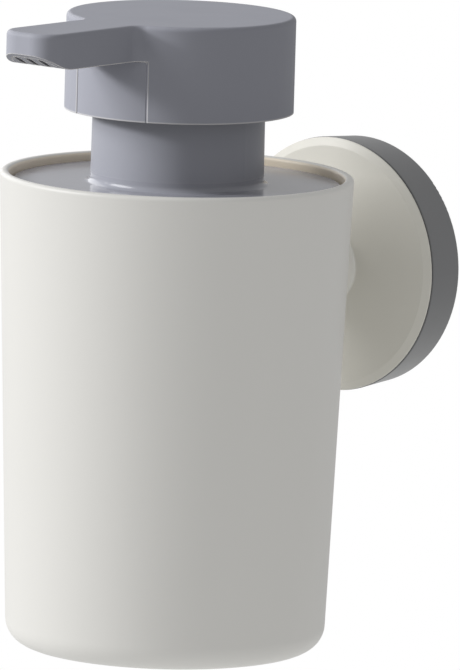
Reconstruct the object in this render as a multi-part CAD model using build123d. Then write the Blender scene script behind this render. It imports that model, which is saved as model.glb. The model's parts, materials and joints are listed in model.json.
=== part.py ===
"""Wall mounted soap dispenser: a tapered cup on a round wall rosette, with a bottle and a lotion pump.

Millimetres. The origin is the centre of the wall face, +Z is up, +Y goes into the wall and the spout
points along -Y. The cup, the bottle and the pump share one upright axis, cup_reach in front of the wall.
"""
from build123d import *
import math
import os

# ---- shared small sizes ----
small_round = 0.4         # edges of the moulded pieces
fit_gap = 0.02            # all round, where a piece is pressed or bonded into another
running_gap = 0.05        # all round, where a piece slides in another
overcut = 1.0             # how far a cutting solid runs past the face that it cuts

# ---- cup ----
cup_reach = 64.5          # wall face to the upright axis of the cup
rim_z = 24.8              # top of the cup's rim above the rosette's centre
cup_height = 102.7
cup_rim_r = 38.0
cup_base_r = 34.3         # where the tapered side would meet the underside
cup_wall = 2.0
cup_floor = 2.0
cup_base_round = 5.5
lip_round = 0.9

# ---- lid and its collar ----
lid_sunk = 1.9            # lid's top below the rim
lid_thick = 2.2
lid_gap = 0.5             # all round, between the lid and the cup
collar_wall = 2.05
collar_draft = 0.15       # the collar is this much wider at its foot
collar_foot_round = 1.3
collar_show = 15.7        # lid's top to the head's lower edge, at rest
rib_depth = 1.85          # the rib that the screw cap is pressed up against
rib_height = 1.5

# ---- pump head and spout ----
head_r = 24.6
head_height = 20.7
head_wall = 1.8
head_round = 1.0
spout_width = 14.8
spout_reach = 52.3        # upright axis to the tip
spout_depth = 7.7
spout_wall = 1.2
spout_corner = 5.5
spout_root_round = 3.0
bevel_length = 5.6        # the tip's underside slopes up over this length
bevel_rise = 3.0
bevel_bend_round = 9.0
panel_half_angle = 23.3   # front panel, from the middle of the spout to each seam
panel_gap = 0.2
panel_recess = 0.15       # the front panel stands this far inside the head's side
panel_edge_round = 0.25
cover_thick = 1.4
cover_gap = 0.1
slot_count = 3
slot_pitch = 3.3
slot_width = 1.7
slot_length = 5.4
slot_margin = 0.5

# ---- flow duct and stem ----
press_stroke = 12.0
hub_r = 7.0
travel_gap = 0.6          # left between the head and what is under it, at full stroke
duct_width = 7.2
duct_wall = 1.0
duct_end = 45.2
stem_r = 3.9
stem_bore = 2.4
stem_head_room = 1.2      # stem's top to the duct's roof
socket_gap = 0.02
port_r = 0.8
port_height = 1.4         # port's middle above the poppet's seat

# ---- screw cap, neck and pump housing ----
neck_r = 13.7             # over the thread
neck_wall = 2.7
neck_height = 8.1         # neck's mouth above the lid's underside
thread_gap = 0.3
cap_wall = 2.4            # with its thread
cap_gap = 0.05            # all round, between the screw cap and the collar
cap_web = 1.5
cap_hole = 9.5
cap_foot_gap = 0.5        # screw cap's foot above the lid's underside
gasket_thick = 1.0
flange_set_in = 0.3       # the pump's flange is this much smaller than the neck
flange_thick = 1.5
barrel_bore = 6.0
barrel_wall = 1.0
guide_flange_gap = 0.3    # all round, between the guide's flange and the screw cap's hole
guide_flange_thick = 1.4
guide_length = 6.5

# ---- piston, poppet and spring ----
slip_travel = 1.2         # the stem moves this far through the piston before it follows
piston_length = 6.5
piston_waist_gap = 0.55   # the piston's waist stands this far inside its lips
piston_lip = 1.6
piston_lip_slope = 0.6
foot_gap = 0.8            # all round, between the poppet's foot and the barrel
foot_thick = 2.4
poppet_seat_gap = 0.1
plug_length = 5.0
plug_web = 2.6
spring_cap_gap = 0.4      # all round, between the spring cap and the barrel
spring_cap_thick = 1.0
spring_boss_gap = 0.5      # all round, between the spring cap's boss and the coil
spring_boss_length = 3.0
spring_gap = 1.0          # all round, between the coil and the barrel
spring_wire_r = 0.4
spring_turns = 8
spring_length = 21.0      # at rest

# ---- inlet valve and dip tube ----
ball_r = 2.5
ball_gap = 0.6            # all round, between the ball and its chamber
ball_chamber_depth = 7.0
seat_hole_r = 1.6
seat_thick = 1.2
cage_thick = 1.0
cage_hole_r = 0.8
cage_hole_pitch_r = 2.2
cage_hole_count = 4
tube_r = 3.2
tube_wall = 0.8
tube_socket_depth = 8.0
tube_socket_wall = 1.2
chamber_wall = 2.0        # round the ball
tube_clear_of_floor = 2.5
tube_end_cut = 3.0

# ---- bottle ----
bottle_r = 29.5
bottle_wall = 1.2
bottle_base_round = 5.0
shoulder_drop = 6.0
shoulder_round = 6.0
neck_root_round = 1.0
shoulder_gap = 0.4

# ---- wall rosette ----
ring_depth = 10.0
ring_front_r = 27.9
ring_draft = 0.7          # the ring is this much smaller at the wall
ring_wall = 3.0
ring_front_round = 0.2
ring_back_round = 0.5
shadow_gap = 0.3
rosette_set_in = 0.1      # the disc is this much smaller than the ring's front
rosette_land = 0.3       # upright edge of the disc, behind its bevel
rosette_bevel_width = 1.8
rosette_bevel_rise = 0.75
rosette_crown = 1.2
rosette_edge_round = 0.15
rosette_crease_round = 0.3
rosette_back_y = 9.4
skirt_gap = 0.1           # all round, between the skirt and the ring
skirt_wall = 1.8
skirt_depth = 4.5
post_r = 8.0
pad_proud = 0.85          # the cup's back pad stands this far off the cup's side
sleeve_wall = 3.94
sleeve_end_y = 2.3
plate_gap = 1.0           # all round, between the wall plate and the skirt
plate_thick = 2.0
plate_boss_r = 9.0
plate_boss_y = 9.0
boss_end_gap = 0.3        # boss to the bottom of the rosette's socket
socket_running_gap = 0.06
groove_depth = 1.2
groove_width = 4.4
grub_y = 5.5
grub_r = 2.0
grub_length = 4.8
grub_hex_r = 1.1
grub_hex_depth = 2.0
key_hole_r = 2.2
wall_screw_pitch = 36.0
wall_screw_hole_r = 2.25

# ---- cup fastening ----
insert_wall = 1.0
insert_length = 10.0
screw_r = 2.5
screw_hole_gap = 0.2
screw_length = 13.5
screw_head_proud = 2.0    # the head is this much larger than the screw
screw_head_height = 2.4
screw_head_round = 1.4
screw_hex_r = 1.6
screw_hex_depth = 1.5
washer_proud = 0.5        # the washer is this much larger than the head
washer_thick = 0.8
inner_pad_border = 1.5    # the pad inside the cup is this much larger than the washer
inner_pad_proud = 1.15
pin_r = 1.1
pin_length = 4.5

# ---- values that follow ----
neck_bore = neck_r - neck_wall
cap_r = neck_r + thread_gap + cap_wall
collar_bore = cap_r + cap_gap
collar_r = collar_bore + collar_wall
rib_bore = collar_bore - rib_depth
flange_r = neck_r - flange_set_in
barrel_r = barrel_bore + barrel_wall
guide_flange_r = cap_hole - guide_flange_gap
foot_r = barrel_bore - foot_gap
spring_cap_r = barrel_bore - spring_cap_gap
spring_r = barrel_bore - spring_gap - spring_wire_r
spring_boss_r = spring_r - spring_wire_r - spring_boss_gap
ball_chamber_r = ball_r + ball_gap
tube_bore = tube_r - tube_wall
ring_back_r = ring_front_r - ring_draft
ring_bore = ring_front_r - ring_wall
rosette_r = ring_front_r - rosette_set_in
skirt_r = ring_bore - skirt_gap
plate_r = skirt_r - skirt_wall - plate_gap
groove_r = plate_boss_r - groove_depth
sleeve_r = plate_boss_r + socket_running_gap + sleeve_wall
insert_r = screw_r + insert_wall
screw_head_r = screw_r + screw_head_proud
washer_r = screw_head_r + washer_proud
inner_pad_r = washer_r + inner_pad_border
pin_offset = (insert_r + post_r) / 2
lid_top = -lid_sunk
lid_bottom = lid_top - lid_thick
head_lift = lid_top + collar_show
head_top = head_lift + head_height
head_ceiling = head_top - head_wall
spout_underside = head_top - spout_depth
duct_floor = spout_underside + cover_thick + cover_gap
duct_roof = head_ceiling - duct_wall
collar_top = duct_floor - press_stroke - travel_gap
neck_top = lid_bottom + neck_height
gasket_top = neck_top + gasket_thick
flange_top = gasket_top + flange_thick
cap_top = flange_top + cap_web
guide_top = flange_top + guide_flange_thick
guide_bottom = flange_top - guide_length
hub_bottom = guide_top + press_stroke + travel_gap
stem_top = duct_roof - stem_head_room
piston_top = guide_bottom - slip_travel - travel_gap
piston_bottom = piston_top - piston_length
poppet_top = piston_bottom - poppet_seat_gap
poppet_bottom = poppet_top - foot_thick
spring_cap_bottom = poppet_bottom - spring_cap_thick
cage_top = spring_cap_bottom - spring_length
barrel_floor = cage_top - cage_thick
seat_z = barrel_floor - ball_chamber_depth
tube_top = seat_z - seat_thick
cup_floor_z = cup_floor - cup_height
bottle_floor_z = cup_floor_z + bottle_wall
tube_bottom = bottle_floor_z + tube_clear_of_floor
rosette_land_y = ring_depth + shadow_gap + rosette_land
rosette_front_y = rosette_land_y + rosette_bevel_rise
rosette_crown_y = rosette_front_y + rosette_crown
pad_y = cup_reach - (cup_rim_r - (cup_rim_r - cup_base_r) * rim_z / cup_height) - pad_proud


def cup_outer_r(z):
    """Radius of the cup's tapered side at a height measured from the rim."""
    return cup_rim_r + (cup_rim_r - cup_base_r) * z / cup_height


def face_of(corners, plane):
    """Closed outline of (u, v) or (u, v, round) corners in a plane, with the given corners rounded."""
    points = [plane.from_local_coords((corner[0], corner[1], 0)) for corner in corners]
    face = make_face(Polyline(*points, close=True)).face()
    for corner, point in zip(corners, points):
        if len(corner) == 3:
            vertex = min(face.vertices(), key=lambda v: (Vector(v) - point).length)
            face = face.fillet_2d(corner[2], [vertex])
    return face


def upright(corners):
    """Solid turned about the cup's axis from (radius, height above the rim) corners."""
    return Pos(0, -cup_reach, rim_z) * revolve(face_of(corners, Plane.XZ), Axis.Z)


def outward(corners):
    """Solid turned about the rosette's axis from (radius, distance from the wall) corners."""
    mirrored = [(corner[0], -corner[1], *corner[2:]) for corner in corners]
    return revolve(face_of(mirrored, Plane.XY), Axis.Y)


def upright_rod(radius, low, high, x=0.0, y=0.0):
    """Round rod parallel to the cup's axis, between two heights above the rim."""
    length = high - low
    return Pos(x, y - cup_reach, rim_z + low + length / 2) * Cylinder(radius, length)


def outward_rod(radius, near, far, x=0.0, z=0.0):
    """Round rod square to the wall, between two distances from it."""
    length = far - near
    return Pos(x, -near - length / 2, z) * Rot(90, 0, 0) * Cylinder(radius, length)


def upright_prism(sketch, low, high):
    """Sketch in the plan view about the cup's axis, raised between two heights above the rim."""
    return Pos(0, -cup_reach, rim_z + low) * extrude(sketch, high - low)


def block(x_size, near, far, low, high):
    """Box centred on the spout, from near to far in front of the cup's axis, between two heights."""
    return Pos(0, -cup_reach - (near + far) / 2, rim_z + (low + high) / 2) * Box(x_size, far - near, high - low)


def hex_socket(radius, depth):
    """Hexagonal prism centred on the origin, twice the socket's depth."""
    return Pos(0, 0, -depth) * extrude(RegularPolygon(radius, 6), 2 * depth)


# ---- wall side ----
def wall_plate():
    plate = outward([
        (0, 0), (plate_r, 0), (plate_r, plate_thick, small_round), (plate_boss_r, plate_thick),
        (plate_boss_r, grub_y - groove_width / 2), (groove_r, grub_y - groove_width / 2),
        (groove_r, grub_y + groove_width / 2), (plate_boss_r, grub_y + groove_width / 2),
        (plate_boss_r, plate_boss_y, small_round), (0, plate_boss_y)])
    for side in (-1, 1):
        plate -= outward_rod(wall_screw_hole_r, -overcut, plate_thick + overcut, x=side * wall_screw_pitch / 2)
    return plate


def backing_ring():
    ring = outward([
        (ring_bore, 0), (ring_back_r, 0, ring_back_round), (ring_front_r, ring_depth, ring_front_round),
        (ring_bore, ring_depth)])
    key_hole = Pos(0, -grub_y, -ring_bore) * Cylinder(key_hole_r, 2 * (ring_front_r - ring_bore + overcut))
    return ring - key_hole


def rosette():
    body = outward([
        (0, plate_boss_y + boss_end_gap), (plate_boss_r + socket_running_gap, plate_boss_y + boss_end_gap),
        (plate_boss_r + socket_running_gap, sleeve_end_y), (sleeve_r, sleeve_end_y),
        (sleeve_r, rosette_back_y), (skirt_r - skirt_wall, rosette_back_y),
        (skirt_r - skirt_wall, ring_depth - skirt_depth), (skirt_r, ring_depth - skirt_depth, small_round),
        (skirt_r, ring_depth + shadow_gap), (rosette_r, ring_depth + shadow_gap, rosette_edge_round),
        (rosette_r, rosette_land_y, rosette_edge_round),
        (rosette_r - rosette_bevel_width, rosette_front_y, rosette_crease_round),
        (post_r, rosette_crown_y, rosette_crease_round),
        (post_r, pad_y), (0, pad_y)])
    body -= outward_rod(insert_r + fit_gap, pad_y - insert_length, pad_y + overcut)
    grub_hole = Pos(0, -grub_y, -sleeve_r) * Cylinder(grub_r + fit_gap, 2 * (sleeve_r - plate_boss_r + overcut))
    body -= grub_hole
    for side in (-1, 1):
        body -= outward_rod(pin_r + fit_gap, pad_y - pin_length / 2, pad_y + overcut, z=side * pin_offset)
    return body


def grub_screw():
    inner = groove_r + fit_gap
    screw = Pos(0, -grub_y, -inner - grub_length / 2) * Cylinder(grub_r, grub_length)
    return screw - Pos(0, -grub_y, -inner - grub_length) * hex_socket(grub_hex_r, grub_hex_depth)


def post_insert():
    sleeve = outward_rod(insert_r, pad_y - insert_length, pad_y)
    return sleeve - outward_rod(screw_r + fit_gap, pad_y - insert_length - overcut, pad_y + overcut)


def inner_pad_y():
    return cup_reach - cup_outer_r(-rim_z) + cup_wall + inner_pad_proud


def cup_screw():
    head_near = inner_pad_y() + washer_thick
    head_far = head_near + screw_head_height
    screw = outward([
        (0, head_near - screw_length), (screw_r, head_near - screw_length, small_round), (screw_r, head_near),
        (screw_head_r, head_near), (screw_head_r, head_far, screw_head_round), (0, head_far)])
    return screw - Pos(0, -head_far, 0) * Rot(90, 0, 0) * hex_socket(screw_hex_r, screw_hex_depth)


def cup_washer():
    ring = outward_rod(washer_r, inner_pad_y(), inner_pad_y() + washer_thick)
    return ring - outward_rod(
        screw_r + screw_hole_gap, inner_pad_y() - overcut, inner_pad_y() + washer_thick + overcut)


def locating_pins():
    near = pad_y - pin_length / 2
    pins = [outward_rod(pin_r, near, near + pin_length, z=side * pin_offset) for side in (-1, 1)]
    return Compound(children=pins)


def cup():
    inner_top_r = cup_rim_r - cup_wall
    inner_base_r = cup_outer_r(cup_floor_z) - cup_wall
    inner_round = cup_base_round - cup_wall
    shell = upright([
        (0, -cup_height), (cup_base_r, -cup_height, cup_base_round), (cup_rim_r, 0, lip_round),
        (inner_top_r, 0, lip_round), (inner_base_r, cup_floor_z, inner_round), (0, cup_floor_z)])
    inside = upright([
        (0, 0), (inner_top_r, 0), (inner_base_r, cup_floor_z, inner_round), (0, cup_floor_z)])
    back_wall_y = cup_reach - cup_outer_r(-rim_z)
    shell += outward_rod(post_r, pad_y, back_wall_y + cup_wall) - inside
    shell += outward_rod(inner_pad_r, back_wall_y + cup_wall / 2, inner_pad_y())
    shell -= outward_rod(screw_r + screw_hole_gap, pad_y - overcut, inner_pad_y() + overcut)
    for side in (-1, 1):
        shell -= outward_rod(pin_r + fit_gap, pad_y - overcut, pad_y + pin_length / 2, z=side * pin_offset)
    return shell


# ---- bottle, lid and screw cap ----
def bottle():
    shoulder_top = lid_bottom - shoulder_gap
    return upright([
        (0, cup_floor_z), (bottle_r, cup_floor_z, bottle_base_round),
        (bottle_r, shoulder_top - shoulder_drop, shoulder_round),
        (neck_r, shoulder_top, neck_root_round), (neck_r, neck_top, small_round), (neck_bore, neck_top),
        (neck_bore, shoulder_top - bottle_wall, neck_root_round),
        (bottle_r - bottle_wall, shoulder_top - shoulder_drop - bottle_wall, shoulder_round - bottle_wall),
        (bottle_r - bottle_wall, bottle_floor_z, bottle_base_round - bottle_wall), (0, bottle_floor_z)])


def lid():
    lid_r = cup_outer_r(lid_bottom) - cup_wall - lid_gap
    foot_r_out = collar_r + collar_draft
    return upright([
        (collar_bore, lid_bottom), (lid_r, lid_bottom, small_round), (lid_r, lid_top, small_round),
        (foot_r_out, lid_top, collar_foot_round), (collar_r, collar_top, small_round),
        (collar_bore, collar_top, small_round),
        (collar_bore, cap_top + rib_height), (rib_bore, cap_top + rib_height), (rib_bore, cap_top),
        (collar_bore, cap_top)])


def screw_cap():
    thread_bore = neck_r + thread_gap
    cap_foot = lid_bottom + cap_foot_gap
    return upright([
        (thread_bore, cap_foot), (cap_r, cap_foot, small_round), (cap_r, cap_top, small_round), (cap_hole, cap_top),
        (cap_hole, flange_top), (thread_bore, flange_top)])


# ---- pump ----
def gasket():
    return upright([(neck_bore, neck_top), (flange_r, neck_top), (flange_r, gasket_top), (neck_bore, gasket_top)])


def pump_housing():
    chamber_wall_r = ball_chamber_r + chamber_wall
    socket_r = tube_r + tube_socket_wall
    socket_end = tube_top - tube_socket_depth
    step = barrel_r - barrel_bore
    taper = barrel_r - chamber_wall_r
    return upright([
        (barrel_bore, flange_top), (flange_r, flange_top), (flange_r, gasket_top), (barrel_r, gasket_top, small_round),
        (barrel_r, barrel_floor - step), (chamber_wall_r, barrel_floor - step - taper), (chamber_wall_r, tube_top),
        (socket_r, tube_top - step), (socket_r, socket_end), (tube_r + fit_gap, socket_end),
        (tube_r + fit_gap, tube_top), (seat_hole_r, tube_top), (seat_hole_r, seat_z), (ball_chamber_r, seat_z),
        (ball_chamber_r, barrel_floor), (barrel_bore, barrel_floor)])


def stem_guide():
    return upright([
        (stem_r + running_gap, guide_bottom), (barrel_bore - fit_gap, guide_bottom),
        (barrel_bore - fit_gap, flange_top), (guide_flange_r, flange_top), (guide_flange_r, guide_top, small_round),
        (stem_r + running_gap, guide_top)])


def ball_cage():
    cage = upright_rod(barrel_bore - fit_gap, barrel_floor, cage_top)
    for index in range(cage_hole_count):
        angle = 2 * math.pi * index / cage_hole_count
        x, y = cage_hole_pitch_r * math.cos(angle), cage_hole_pitch_r * math.sin(angle)
        cage -= upright_rod(cage_hole_r, barrel_floor - overcut, cage_top + overcut, x, y)
    return cage


def dip_tube():
    tube = upright_rod(tube_r, tube_bottom, tube_top)
    tube -= upright_rod(tube_bore, tube_bottom - overcut, tube_top + overcut)
    cut_corners = [
        (-2 * tube_r, tube_bottom - overcut), (2 * tube_r, tube_bottom - overcut),
        (2 * tube_r, tube_bottom + tube_end_cut)]
    wedge = extrude(face_of(cut_corners, Plane.XZ), 2 * tube_r, both=True)
    return tube - Pos(0, -cup_reach, rim_z) * wedge


def inlet_ball():
    rest_height = math.sqrt(ball_r**2 - seat_hole_r**2) + running_gap
    return Pos(0, -cup_reach, rim_z + seat_z + rest_height) * Sphere(ball_r)


def spring():
    low = cage_top + spring_wire_r + running_gap
    height = spring_cap_bottom - spring_wire_r - running_gap - low
    path = Helix(pitch=height / spring_turns, height=height, radius=spring_r)
    start = Plane(origin=path @ 0, z_dir=path % 0)
    coil = sweep(start * Circle(spring_wire_r), path=path, is_frenet=True)
    return Pos(0, -cup_reach, rim_z + low) * coil


def spring_cap():
    return upright([
        (0, spring_cap_bottom - spring_boss_length),
        (spring_boss_r, spring_cap_bottom - spring_boss_length, small_round),
        (spring_boss_r, spring_cap_bottom), (spring_cap_r, spring_cap_bottom), (spring_cap_r, poppet_bottom),
        (0, poppet_bottom)])


def piston():
    bore = stem_r + running_gap
    lip_r = barrel_bore - running_gap
    waist_r = lip_r - piston_waist_gap
    return upright([
        (bore, piston_bottom), (lip_r, piston_bottom, small_round), (lip_r, piston_bottom + piston_lip),
        (waist_r, piston_bottom + piston_lip + piston_lip_slope),
        (waist_r, piston_top - piston_lip - piston_lip_slope),
        (lip_r, piston_top - piston_lip), (lip_r, piston_top, small_round), (bore, piston_top)])


# ---- plunger and head ----
def poppet():
    foot = upright([
        (0, poppet_bottom), (foot_r, poppet_bottom, small_round), (foot_r, poppet_top, small_round), (0, poppet_top)])
    plug = upright_rod(stem_bore - fit_gap, poppet_top, poppet_top + plug_length)
    plug &= block(plug_web, -2 * stem_bore, 2 * stem_bore, poppet_top, poppet_top + plug_length)
    return foot + plug


def stem():
    tube = upright_rod(stem_r, poppet_top, stem_top)
    tube -= upright_rod(stem_bore, poppet_top - overcut, stem_top + overcut)
    port = Pos(0, -cup_reach, rim_z + poppet_top + port_height) * Rot(90, 0, 0) * Cylinder(port_r, 4 * stem_r)
    return tube - port


def flow_duct():
    hub = upright_rod(hub_r, hub_bottom, head_ceiling)
    arm = block(duct_width, 0, duct_end, duct_floor, head_ceiling)
    socket = upright_rod(stem_r + socket_gap, hub_bottom - overcut, stem_top)
    well = upright_rod(stem_bore, stem_top - overcut, duct_roof)
    channel = block(duct_width - 2 * duct_wall, 0, duct_end + overcut, duct_floor + duct_wall, duct_roof)
    return hub + arm - socket - well - channel


def spout_plan(margin):
    """Plan of the spout alone, drawn in by margin on every side, with rounded tip corners."""
    width = spout_width - 2 * margin
    length = spout_reach - margin
    plan = Pos(0, -length / 2) * Rectangle(width, length)
    tip_corners = plan.vertices().sort_by(Axis.Y)[:2]
    return fillet(tip_corners, spout_corner - margin)


def head_plan():
    """Plan of the head and the spout together, with the hollow rounds where the spout leaves the head."""
    plan = Circle(head_r) + spout_plan(0)
    root_y = -math.sqrt(head_r**2 - (spout_width / 2) ** 2)
    roots = [v for v in plan.vertices() if abs(v.Y - root_y) < 0.1 and abs(abs(v.X) - spout_width / 2) < 0.1]
    return fillet(roots, spout_root_round)


def under_tip(raised, near):
    """Solid that fills the space under the spout's curved underside, moved up, from near to past the tip."""
    low, far = spout_underside + raised, spout_reach + overcut
    slope = bevel_rise / bevel_length
    bend = spout_reach - bevel_length
    outline = face_of([
        (-near, low), (-bend, low, bevel_bend_round), (-far, low + slope * (far - bend)),
        (-far, low - spout_depth), (-near, low - spout_depth)], Plane.YZ)
    return Pos(0, -cup_reach, rim_z) * extrude(outline, spout_width, both=True)


def panel_sector(half_angle, inner_r, outer_r, low, high):
    """Curved slab of the head's skirt under the spout, to an angle each side of the spout."""
    reach = 2 * outer_r
    half = math.radians(half_angle)
    corners = [
        (0, 0), (-reach * math.sin(half), -reach * math.cos(half)),
        (reach * math.sin(half), -reach * math.cos(half))]
    sector = face_of(corners, Plane.XY)
    slab = upright_prism(sector, low, high)
    return slab & (upright_rod(outer_r, low, high) - upright_rod(inner_r, low - overcut, high + overcut))


def seam_edges(solid):
    """Upright outer edges of the head's skirt at the two seams of the front panel."""
    half = math.radians(panel_half_angle)
    seams = [(side * head_r * math.sin(half), -cup_reach - head_r * math.cos(half)) for side in (-1, 1)]
    edges = solid.edges().filter_by(Axis.Z)
    return [edge for edge in edges for x, y in seams if math.hypot(edge.center().X - x, edge.center().Y - y) < 0.05]


def head_shell():
    body = upright_rod(head_r, head_lift, head_top) + upright_prism(head_plan(), spout_underside, head_top)
    body -= under_tip(0, spout_reach - 2 * bevel_length)
    body = fillet(body.faces().sort_by(Axis.Z)[-1].edges(), head_round)
    body -= upright_rod(head_r - head_wall, head_lift - overcut, head_ceiling)
    body -= upright_prism(spout_plan(spout_wall), spout_underside - overcut, head_ceiling)
    body -= panel_sector(
        panel_half_angle, head_r - head_wall - overcut, head_r + overcut, head_lift - overcut, spout_underside)
    return fillet(seam_edges(body), panel_edge_round)


def spout_cover():
    plate_plan = spout_plan(spout_wall + cover_gap)
    plate_top = spout_underside + cover_thick + bevel_rise
    plate = under_tip(cover_thick, head_r - head_wall) - under_tip(0, 0)
    plate &= upright_prism(plate_plan, spout_underside - overcut, plate_top + overcut)
    gap_angle = math.degrees(panel_gap / head_r)
    panel_r = head_r - panel_recess
    panel = panel_sector(panel_half_angle - gap_angle, head_r - head_wall, panel_r, head_lift, spout_underside)
    cover = plate + panel
    slot_middle = spout_reach - spout_wall - cover_gap - slot_margin - slot_length / 2
    for index in range(slot_count):
        x = slot_pitch * (index - (slot_count - 1) / 2)
        slot = Pos(x, -slot_middle) * Rot(0, 0, 90) * SlotOverall(slot_length, slot_width)
        cover -= upright_prism(slot, spout_underside - overcut, plate_top + overcut)
    return cover


PIECES = (
    wall_plate, backing_ring, rosette, grub_screw, post_insert, cup_screw, cup_washer, locating_pins, cup,
    bottle, lid, screw_cap, gasket, pump_housing, stem_guide, ball_cage, dip_tube, inlet_ball, spring,
    spring_cap, piston, poppet, stem, flow_duct, head_shell, spout_cover)

os.makedirs("parts", exist_ok=True)
for piece in PIECES:
    export_step(piece(), f"parts/{piece.__name__}.step")
    print("made", piece.__name__)
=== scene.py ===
# %% [markdown]
# # A wall mounted soap dispenser
# A tapered white cup hangs on a round rosette. In it stands a bottle with a lotion pump, closed by a grey
# lid, and the pump's head with its flat spout is all that is touched in use. The engineered pieces arrive as
# a fixed frame, at their true size and place. What is left for this lesson is how they look: the cup turned
# smooth, the seams that a mould leaves, the moulded and polished finishes, a camera and a soft studio.

# %% Load the frame
import json
import math
import bmesh
import bpy
from mathutils import Matrix, Vector


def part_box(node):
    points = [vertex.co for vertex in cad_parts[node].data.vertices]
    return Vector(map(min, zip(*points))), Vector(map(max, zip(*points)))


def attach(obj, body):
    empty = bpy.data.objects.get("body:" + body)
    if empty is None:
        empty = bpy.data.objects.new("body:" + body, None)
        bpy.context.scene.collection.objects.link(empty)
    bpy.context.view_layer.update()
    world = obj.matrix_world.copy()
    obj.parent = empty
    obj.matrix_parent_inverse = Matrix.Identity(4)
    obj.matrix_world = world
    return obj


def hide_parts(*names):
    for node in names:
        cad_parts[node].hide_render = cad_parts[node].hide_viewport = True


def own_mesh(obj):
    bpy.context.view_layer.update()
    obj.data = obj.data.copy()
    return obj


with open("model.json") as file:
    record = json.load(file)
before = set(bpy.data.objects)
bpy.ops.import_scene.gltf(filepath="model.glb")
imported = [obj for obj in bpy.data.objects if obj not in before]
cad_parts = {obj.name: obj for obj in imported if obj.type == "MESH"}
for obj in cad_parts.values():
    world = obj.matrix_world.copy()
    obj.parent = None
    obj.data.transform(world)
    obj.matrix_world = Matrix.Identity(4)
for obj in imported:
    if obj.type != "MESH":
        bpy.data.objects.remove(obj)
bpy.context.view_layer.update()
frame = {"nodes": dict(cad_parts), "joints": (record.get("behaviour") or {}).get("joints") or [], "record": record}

nodes = frame["nodes"]
scene = bpy.context.scene
print("nodes:", len(nodes))

# %% [markdown]
# ## Camera
# The dispenser is seen from its front right, a little above the rim, through a long lens that keeps the
# cup's sides almost straight. The view is stated as an azimuth, an elevation, a roll and a point to look at,
# rather than as a matrix, because those numbers can be read and changed. Two of them also place the lamps.


# %% View axes
def view_axes(azimuth, elevation, roll=0.0):
    """Right, up and backward directions of something that looks at the object from angles in degrees."""
    around, above, lean = (math.radians(angle) for angle in (azimuth, elevation, roll))
    back = Vector((math.sin(around) * math.cos(above), -math.cos(around) * math.cos(above), math.sin(above)))
    right = Vector((math.cos(around), math.sin(around), 0))
    up = back.cross(right)
    leaning_right = right * math.cos(lean) + up * math.sin(lean)
    leaning_up = up * math.cos(lean) - right * math.sin(lean)
    return leaning_right, leaning_up, back


def aimed(axes, target, distance):
    """Matrix of an object that looks at the target from a distance."""
    turn = Matrix(axes).transposed().to_4x4()
    back = axes[2]
    return Matrix.Translation(target + back * distance) @ turn


print("seen from azimuth 90:", [round(value, 3) for value in view_axes(90, 0)[2]])


# %% Camera
view_azimuth = 39.17
view_elevation = 8.77
view_roll = 1.62
view_distance = 2.3166
view_target = Vector((0.00959, -0.0568, -0.00996))
film_height_mm = 36
lens_length_mm = 579.3
far_limit = 50

lens = bpy.data.cameras.new("camera")
lens.sensor_fit = "VERTICAL"
lens.sensor_height = film_height_mm
lens.lens = lens_length_mm
lens.clip_end = far_limit
camera = bpy.data.objects.new("camera", lens)
camera.matrix_world = aimed(view_axes(view_azimuth, view_elevation, view_roll), view_target, view_distance)
scene.collection.objects.link(camera)
scene.camera = camera
print("camera at", [round(v, 3) for v in camera.matrix_world.translation])

# %% [markdown]
# ## Studio
# A large key lamp stands far round on the spout's side, so the cup shades from bright to mid grey across its
# width. A weak lamp still further round, behind the object, brightens the edges on that side. A smaller,
# lower lamp is for the grey head and lid, and throws the spout's soft shadow on the skirt. White paper all
# round gives the rest. The world is made in two strengths: what the camera sees directly is pure white, and
# what lights the object is weaker, because real paper behind an object lights it only in part.

# %% World
ambient_strength = 0.53
white = (1, 1, 1, 1)
world = bpy.data.worlds.new("studio")
scene.world = world
scene.view_settings.view_transform = "Standard"
world.use_nodes = True
sky = world.node_tree
room = sky.nodes["Background"]
room.inputs["Color"].default_value = white
room.inputs["Strength"].default_value = ambient_strength
paper = sky.nodes.new("ShaderNodeBackground")
paper.inputs["Color"].default_value = white
ray = sky.nodes.new("ShaderNodeLightPath")
choice = sky.nodes.new("ShaderNodeMixShader")
sky.links.new(ray.outputs["Is Camera Ray"], choice.inputs[0])
sky.links.new(room.outputs[0], choice.inputs[1])
sky.links.new(paper.outputs[0], choice.inputs[2])
sky.links.new(choice.outputs[0], sky.nodes["World Output"].inputs[0])
print("ambient strength", ambient_strength)

# %% [markdown]
# ## Lamps
# Each lamp is a round softbox, placed by the same angles as the camera. Its size sets how soft the shadows
# are. A lamp this low also mirrors in the flat top of the head for anyone who stands opposite, so the head
# lamp is left out of glossy reflections: it shades the surface and never flashes in it.


# %% Lamps
def softbox(name, azimuth, elevation, distance, width, power):
    """Round area lamp that looks at the object, placed by its angles from the spout's direction."""
    light = bpy.data.lights.new(name, "AREA")
    light.shape = "DISK"
    light.size = width
    light.energy = power
    lamp = bpy.data.objects.new(name, light)
    lamp.matrix_world = aimed(view_axes(azimuth, elevation), view_target, distance)
    scene.collection.objects.link(lamp)
    return lamp


softbox("key_lamp", azimuth=-46, elevation=28, distance=2.0, width=1.2, power=31)
softbox("back_lamp", azimuth=-110, elevation=20, distance=2.0, width=1.4, power=7)
head_lamp = softbox("head_lamp", azimuth=-45, elevation=20, distance=2.0, width=0.3, power=31)
head_lamp.visible_glossy = False
print("lamps:", [light.name for light in bpy.data.lights])

# %% [markdown]
# ## Floor
# The dispenser hangs on a wall, so the floor is a plain pale disc well below it. It is there to throw a
# little light up under the cup. A disc has no corners to show in a view, as a square sheet would.

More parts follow.
